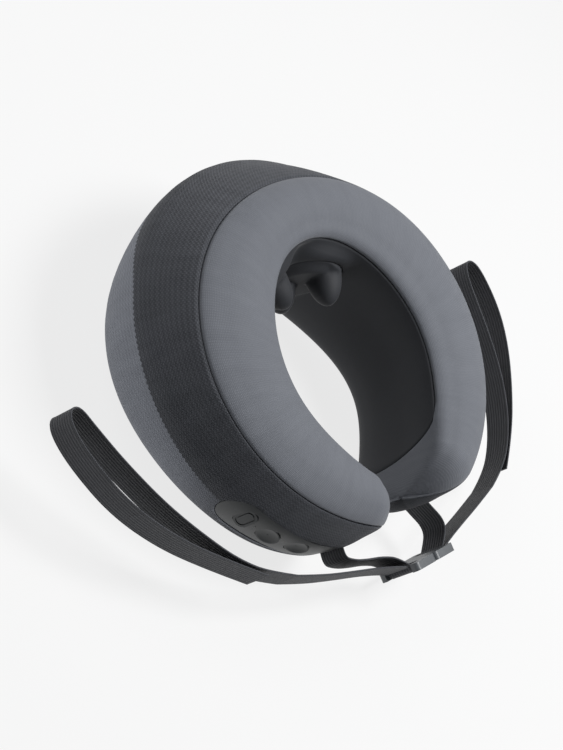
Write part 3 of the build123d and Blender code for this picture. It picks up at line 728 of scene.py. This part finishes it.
liner_cloth, nodes, links, shader = new_material("liner_stretch", (0.03, 0.032, 0.038), 0.7)
shader.inputs["Sheen Weight"].default_value = 0.08
shader.inputs["Sheen Roughness"].default_value = 0.35
shader.inputs["Specular IOR Level"].default_value = 0.35
place = nodes.new("ShaderNodeTexCoord").outputs["Object"]
fine = speckle(nodes, links, place, 0.0007, 1.0)
cloudy = speckle(nodes, links, place, 0.03)
tone = combine(nodes, links, "MULTIPLY", combine(nodes, links, "ADD", fine, cloudy), 0.5)
colour = shade(nodes, links, tone, (0.012, 0.013, 0.016), (0.026, 0.028, 0.033))
links.new(colour, shader.inputs["Base Color"])
relief(nodes, links, shader, fine, 0.00008, 0.7)
liner.data.materials.append(liner_cloth)

# ---- Massage heads: fabric caps over the two turning heads -----------------------------
# Each turning plate carries two silicone-covered nodes under a cap of the liner's stretch
# fabric, drawn tight over both nodes and tucked in round the plate's rim.
CAP_RADIUS, CAP_RIM, CAP_CLOTH = 28.5, 3.0, 0.0008
NODE_CIRCLE, NODE_TURN = 15.5, math.radians(-45)
NODE_TOP, NODE_FOOT, DOME_FULLNESS = 22.4, 12.6, 0.58
SKIRT, SKIRT_SPREAD = 5, 1.25
SADDLE, SADDLE_EASE, CAP_LIFT = 4.5, 9, 1.5
CAP_AROUND, CAP_RINGS = 120, 34


def cap_height(x, y):
    """The cap's height over the plate: a dome over each node and a saddle between them."""
    tops = []
    for reach in (NODE_CIRCLE, -NODE_CIRCLE):
        node_x, node_y = reach * math.cos(NODE_TURN), reach * math.sin(NODE_TURN)
        rho = math.hypot(x - node_x, y - node_y) / NODE_FOOT
        if rho < 1:
            tops.append(NODE_TOP * (1 - rho * rho) ** DOME_FULLNESS)
        else:
            tops.append(SKIRT * math.exp(-((rho / SKIRT_SPREAD) ** 4)))
    saddle = SADDLE * eased((CAP_RADIUS - math.hypot(x, y)) / SADDLE_EASE)
    return CAP_LIFT + max(*tops, saddle)


RIM_STEPS = (
    (CAP_RADIUS - 0.1, 0.6), (CAP_RADIUS, -0.4),
    (CAP_RADIUS - 0.2, -CAP_RIM), (CAP_RADIUS - 2, -CAP_RIM),
)
for side, name in ((-1, "left"), (1, "right")):
    middle, upright, sideways, inward = head_plane(side)
    circles = [((CAP_RADIUS - 0.5) * ring / CAP_RINGS, None) for ring in range(1, CAP_RINGS + 1)]
    verts = [stand(middle + inward * cap_height(0, 0))]
    for radius, rim_height in circles + list(RIM_STEPS):
        for k in range(CAP_AROUND):
            a = 2 * math.pi * k / CAP_AROUND
            x, y = radius * math.cos(a), radius * math.sin(a)
            height = cap_height(x, y) if rim_height is None else rim_height
            verts.append(stand(middle + upright * x + sideways * y + inward * height))
    faces = [(0, 1 + k, 1 + (k + 1) % CAP_AROUND) for k in range(CAP_AROUND)]
    for base in range(1, len(verts) - CAP_AROUND, CAP_AROUND):
        for k in range(CAP_AROUND):
            after = (k + 1) % CAP_AROUND
            faces.append((base + k, base + CAP_AROUND + k, base + CAP_AROUND + after, base + after))
    cap = new_mesh("head_cap_" + name, verts, faces)
    smoothing = cap.modifiers.new("smoothing", "SMOOTH")
    smoothing.factor, smoothing.iterations = 0.5, 3
    applied(cap)
    made_up(cap, CAP_CLOTH, sharp=70)
    cap.data.materials.append(liner_cloth)
    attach(cap, "head_" + name)
    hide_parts("head_skin_" + name)

# ---- Straps: ribbed webbing for the hands and the front clip ---------------------------
# Woven polyester webbing 20 mm wide, set upright. On each side a short strap runs from the
# arm's slot to the clip, and a long one runs from the clip to a hand loop sewn onto it.
WEBBING_WIDTH, WEBBING_THICKNESS = 20, 1.4
CLIP_MIDDLE = (25, -128)
BAR_OFFSET = 17
ANCHOR_ANGLE, ANCHOR_DEPTH = 152.5, 11
anchor_radius = outer_seam(ANCHOR_ANGLE) + bulge(ANCHOR_ANGLE) - ANCHOR_DEPTH
SHORT_ROUTE = {
    "left": [(-51.9, -99.8), (-42, -106), (-30, -109.5), (-16, -112.5), (-2, -118)],
    "right": [(52.4, -100.6), (56.5, -108), (56.5, -115), (50, -121.5)],
}
RUN_ROUTE = {
    "left": [(-4, -123.5), (-24, -117.5), (-49, -111.5), (-76, -104.5), (-97, -97.2)],
    "right": [(54, -124), (76, -118.5), (100, -113), (124, -106.5)],
}
LOOP_ROUTE = {
    "left": [
        (-97, -97.2), (-119, -86.8), (-134, -76), (-148, -62), (-173, -29), (-191, 5), (-202, 32),
        (-207, 46), (-215, 46.5), (-218.5, 36), (-214, 14), (-201, -17), (-178, -45), (-148, -69.5),
        (-121, -88.8),
    ],
    "right": [
        (124, -106.5), (146, -98), (166, -81.5), (182, -59), (193, -31), (198.5, 2), (201, 30),
        (206, 46), (215, 47.5), (221.5, 38), (222.5, 8), (214, -20), (196, -50), (172, -80),
        (148, -100.4),
    ],
}


def eased_route(route, step=1.6):
    """A smooth plan line that runs along the route's sides and rounds its corners."""
    points = [Vector((x, y, STRAP_LEVEL)) for x, y in route]
    halves = [points[0]] + [(a + b) / 2 for a, b in zip(points[1:-2], points[2:-1])] + [points[-1]]
    line = []
    for start, corner, end in zip(halves, points[1:-1], halves[1:]):
        count = max(int((end - start).length / step), 2)
        for t in (k / count for k in range(count)):
            line.append((1 - t) ** 2 * start + 2 * t * (1 - t) * corner + t * t * end)
    return line + [points[-1]]


WOVEN_EDGE = ((0, 0.35), (0.25, 0.75), (0.7, 0.95), (1.5, 0.78))
WOVEN_FACE = 0.78


def webbing(name, line):
    """A length of webbing along a line: flat faces, soft corners and a raised woven edge."""
    half, thick = WEBBING_WIDTH / 2, WEBBING_THICKNESS / 2
    edge = [(half - inset, thick * raised) for inset, raised in WOVEN_EDGE]
    face = [(-y, z) for y, z in edge] + [(y, thick * WOVEN_FACE) for y in (-5, 0, 5)] + edge[::-1]
    outline = face + [(y, -z) for y, z in reversed(face)]
    verts, coords, faces = [], [], []
    n, along = len(outline), 0.0
    for i, point in enumerate(line):
        ahead, behind = line[min(i + 1, len(line) - 1)], line[max(i - 1, 0)]
        direction = (ahead - behind).normalized()
        normal = Vector((-direction.y, direction.x, 0))
        along += (point - line[i - 1]).length / 1000 if i else 0
        for y, depth_here in outline:
            verts.append(stand(point + Vector((0, 0, y)) + normal * depth_here))
            coords.append((along, y / 1000, 0))
    for i in range(len(line) - 1):
        for k in range(n):
            a, b = i * n + k, i * n + (k + 1) % n
            faces.append((a, b, b + n, a + n))
    faces.append(tuple(range(n - 1, -1, -1)))
    faces.append(tuple(range(len(verts) - n, len(verts))))
    obj = new_mesh(name, verts, faces)
    weave_map(obj, coords)
    obj.data.polygons.foreach_set("use_smooth", [True] * len(obj.data.polygons))
    obj.data.set_sharp_from_angle(angle=math.radians(50))
    return obj


web, nodes, links, shader = new_material("webbing", (0.05, 0.052, 0.06), 0.62)
shader.inputs["Sheen Weight"].default_value = 0.06
shader.inputs["Specular IOR Level"].default_value = 0.3
place = on_cloth(nodes, links)
cords = bands(nodes, links, place, 0.0022, "Y")
twill = bands(nodes, links, on_cloth(nodes, links, (1, 1, 0)), 0.0014, "DIAGONAL")
picks = bands(nodes, links, place, 0.0009, "X", 0.4)
crossing = combine(nodes, links, "ADD", twill, picks)
height = combine(nodes, links, "ADD", cords, combine(nodes, links, "MULTIPLY", crossing, 0.35))
wear = speckle(nodes, links, place, 0.012)
tone = combine(nodes, links, "MULTIPLY", combine(nodes, links, "ADD", height, wear), 0.4)
links.new(shade(nodes, links, tone, (0.01, 0.011, 0.013), (0.05, 0.052, 0.06)), shader.inputs["Base Color"])
relief(nodes, links, shader, height, 0.0003, 0.9)


EYE_RADIUS, EYE_GAP, SEWN_GAP = 2.4, 0.9, 4.6


def eye_line(line, bar, start):
    """A strap's line ended in a loop round a bar, at its start or its end."""
    towards = line[1] - line[0] if start else line[-2] - line[-1]
    heading = math.atan2(towards.y, towards.x)
    ring = [
        bar + EYE_RADIUS * Vector((math.cos(heading + a), math.sin(heading + a), 0))
        for a in np.linspace(0.45, 2 * math.pi - 0.1, 14)
    ]
    clear = [p for p in line if (p - bar).length > EYE_RADIUS + EYE_GAP]
    return list(reversed(ring)) + clear if start else clear + ring


for side, name in ((-1, "left"), (1, "right")):
    pin = polar(anchor_radius, side * ANCHOR_ANGLE, STRAP_LEVEL)
    bar = Vector((CLIP_MIDDLE[0] + side * BAR_OFFSET, CLIP_MIDDLE[1], STRAP_LEVEL))
    short_line = eased_route([(pin.x, pin.y)] + SHORT_ROUTE[name] + [(bar.x, bar.y)])
    run_line = eased_route([(bar.x, bar.y)] + RUN_ROUTE[name])
    run_line = [p for p in run_line if (p - bar).length > SEWN_GAP]
    short = webbing("short_webbing_" + name, eye_line(eye_line(short_line, pin, True), bar, False))
    run = webbing("long_webbing_" + name, run_line)
    loop = webbing("hand_loop_webbing_" + name, eased_route(LOOP_ROUTE[name]))
    for piece, node in ((short, "short_strap_"), (run, "long_strap_"), (loop, "hand_loop_")):
        piece.data.materials.append(web)
        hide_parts(node + name)
        if side > 0 or piece is loop:
            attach(piece, "body")
    if side < 0:
        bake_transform(short)
        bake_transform(run)

# ---- Moulded plastics: panel, keys, clip, housings -------------------------------------
# Injection-moulded parts: a satin fascia and keys with a fine spark texture, a slightly
# brighter clip, and plain housings and gears inside, which keep the frame's own shapes.


def moulded(name, dark, light, roughness, grain=0.0004, depth=0.00003, coat=0.0):
    """A moulded plastic with a fine spark texture and faint cloudiness."""
    plastic, nodes, links, shader = new_material(name, dark, roughness)
    shader.inputs["Coat Weight"].default_value = coat
    place = nodes.new("ShaderNodeTexCoord").outputs["Object"]
    spark = speckle(nodes, links, place, grain, 3.0)
    cloudy = speckle(nodes, links, place, 0.02)
    tone = combine(nodes, links, "MULTIPLY", combine(nodes, links, "ADD", spark, cloudy), 0.5)
    links.new(shade(nodes, links, tone, dark, light), shader.inputs["Base Color"])
    worn = nodes.new("ShaderNodeMapRange")
    worn.inputs["To Min"].default_value = roughness - 0.08
    worn.inputs["To Max"].default_value = roughness + 0.08
    links.new(cloudy, worn.inputs["Value"])
    links.new(worn.outputs["Result"], shader.inputs["Roughness"])
    relief(nodes, links, shader, spark, depth, 0.6)
    return plastic


def turned(name, dark, light, roughness, pitch=0.0003):
    """A machined or rolled metal with fine tool lines."""
    metal, nodes, links, shader = new_material(name, light, roughness)
    shader.inputs["Metallic"].default_value = 1
    place = nodes.new("ShaderNodeTexCoord").outputs["Object"]
    lines = bands(nodes, links, place, pitch, "Z", 1.5)
    stain = speckle(nodes, links, place, 0.006)
    tone = combine(nodes, links, "MULTIPLY", combine(nodes, links, "ADD", lines, stain), 0.5)
    links.new(shade(nodes, links, tone, dark, light), shader.inputs["Base Color"])
    relief(nodes, links, shader, lines, 0.00001, 0.4)
    return metal


finishes = {
    "panel_plastic": moulded("panel_plastic", (0.012, 0.014, 0.0155), (0.024, 0.028, 0.03), 0.44),
    "button_plastic": moulded("button_plastic", (0.015, 0.018, 0.0195), (0.03, 0.034, 0.037), 0.38),
    "clip_plastic": moulded("clip_plastic", (0.05, 0.055, 0.06), (0.1, 0.108, 0.116), 0.42),
    "housing_plastic": moulded("housing_plastic", (0.03, 0.03, 0.034), (0.06, 0.06, 0.066), 0.55),
    "gear_plastic": moulded("gear_plastic", (0.62, 0.6, 0.55), (0.78, 0.77, 0.72), 0.45),
    "node_silicone": moulded("node_silicone", (0.08, 0.08, 0.09), (0.14, 0.14, 0.15), 0.6, 0.0008),
    "circuit_board": moulded("circuit_board", (0.01, 0.07, 0.03), (0.03, 0.16, 0.07), 0.4, 0.003, coat=0.3),
    "switch_plastic": moulded("switch_plastic", (0.02, 0.02, 0.02), (0.05, 0.05, 0.05), 0.5),
    "light_pipe": moulded("light_pipe", (0.01, 0.011, 0.012), (0.03, 0.033, 0.036), 0.2, coat=0.5),
    "foam": moulded("foam", (0.25, 0.25, 0.26), (0.42, 0.42, 0.43), 0.95, 0.0012, 0.0004),
    "cell_wrap": moulded("cell_wrap", (0.05, 0.14, 0.28), (0.1, 0.24, 0.42), 0.35, coat=0.4),
    "heater_film": moulded("heater_film", (0.35, 0.18, 0.05), (0.5, 0.3, 0.1), 0.35, 0.002),
    "lead_sleeve": moulded("lead_sleeve", (0.2, 0.015, 0.015), (0.32, 0.03, 0.03), 0.5),
    "steel": turned("steel", (0.45, 0.45, 0.47), (0.66, 0.66, 0.68), 0.32),
    "bronze": turned("bronze", (0.4, 0.28, 0.13), (0.6, 0.45, 0.24), 0.4),
    "motor_can": turned("motor_can", (0.38, 0.38, 0.4), (0.58, 0.58, 0.6), 0.35, 0.0006),
    "webbing": web,
    "ring_knit": crown_cloth,
    "band_knit": band.data.materials[0],
    "panel_knit": lower.data.materials[0],
    "liner_stretch": liner_cloth,
}
for subpart in frame["record"]["subparts"]:
    node = frame["nodes"][subpart["node"]]
    node.data.materials.clear()
    node.data.materials.append(finishes[subpart["material_slot"]])
